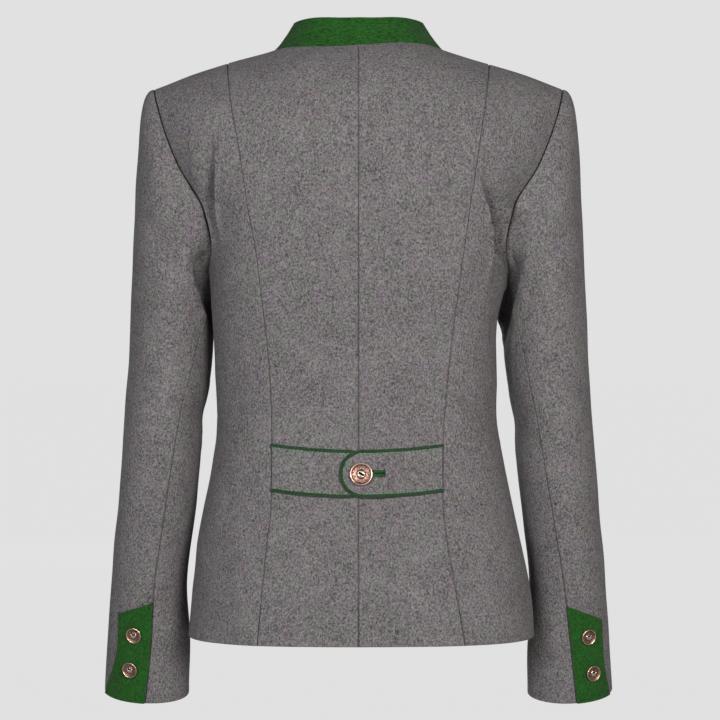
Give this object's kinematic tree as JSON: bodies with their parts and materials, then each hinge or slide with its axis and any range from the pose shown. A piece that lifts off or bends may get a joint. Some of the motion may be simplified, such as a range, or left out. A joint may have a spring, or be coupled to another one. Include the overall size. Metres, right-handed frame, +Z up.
{
  "type": "tyrolean loden jacket",
  "caption": "Fitted short loden jacket of grey wool with a green stand collar, green cuff insets, a half belt across the back waist and metal buttons.",
  "frame": {"origin": "middle of the neck opening, between the two shoulder points of the neck", "axes": "+Z up, +Y out of the back, -Y out of the front, +X to the wearer's left"},
  "size_m": [0.5169, 0.259, 0.6829],
  "materials": {
    "grey_loden": "melange grey loden, milled and lightly napped",
    "green_loden": "leaf green loden, milled",
    "green_piping": "dark green wool piping",
    "copper_buttons": "antique copper, worn bright on the rim and boss"
  },
  "bodies": {
    "root": {"back_centre_left": "grey_loden", "back_side_left": "grey_loden", "front_centre_left": "grey_loden", "front_side_left": "grey_loden", "sleeve_upper_left": "grey_loden", "sleeve_under_left": "grey_loden", "cuff_inset_left": "green_loden", "belt_tab_left": "grey_loden", "back_centre_right": "grey_loden", "back_side_right": "grey_loden", "front_centre_right": "grey_loden", "front_side_right": "grey_loden", "sleeve_upper_right": "grey_loden", "sleeve_under_right": "grey_loden", "cuff_inset_right": "green_loden", "belt_tab_right": "grey_loden", "collar": "green_loden", "belt_piping_top_left": "green_piping", "belt_piping_bottom_left": "green_piping", "belt_piping_right": "green_piping", "belt_button": "copper_buttons", "cuff_button_left_1": "copper_buttons", "cuff_button_left_2": "copper_buttons", "cuff_button_right_1": "copper_buttons", "cuff_button_right_2": "copper_buttons", "front_button_1": "copper_buttons", "front_button_2": "copper_buttons", "front_button_3": "copper_buttons", "front_button_4": "copper_buttons", "front_button_5": "copper_buttons"}
  },
  "joints": []
}
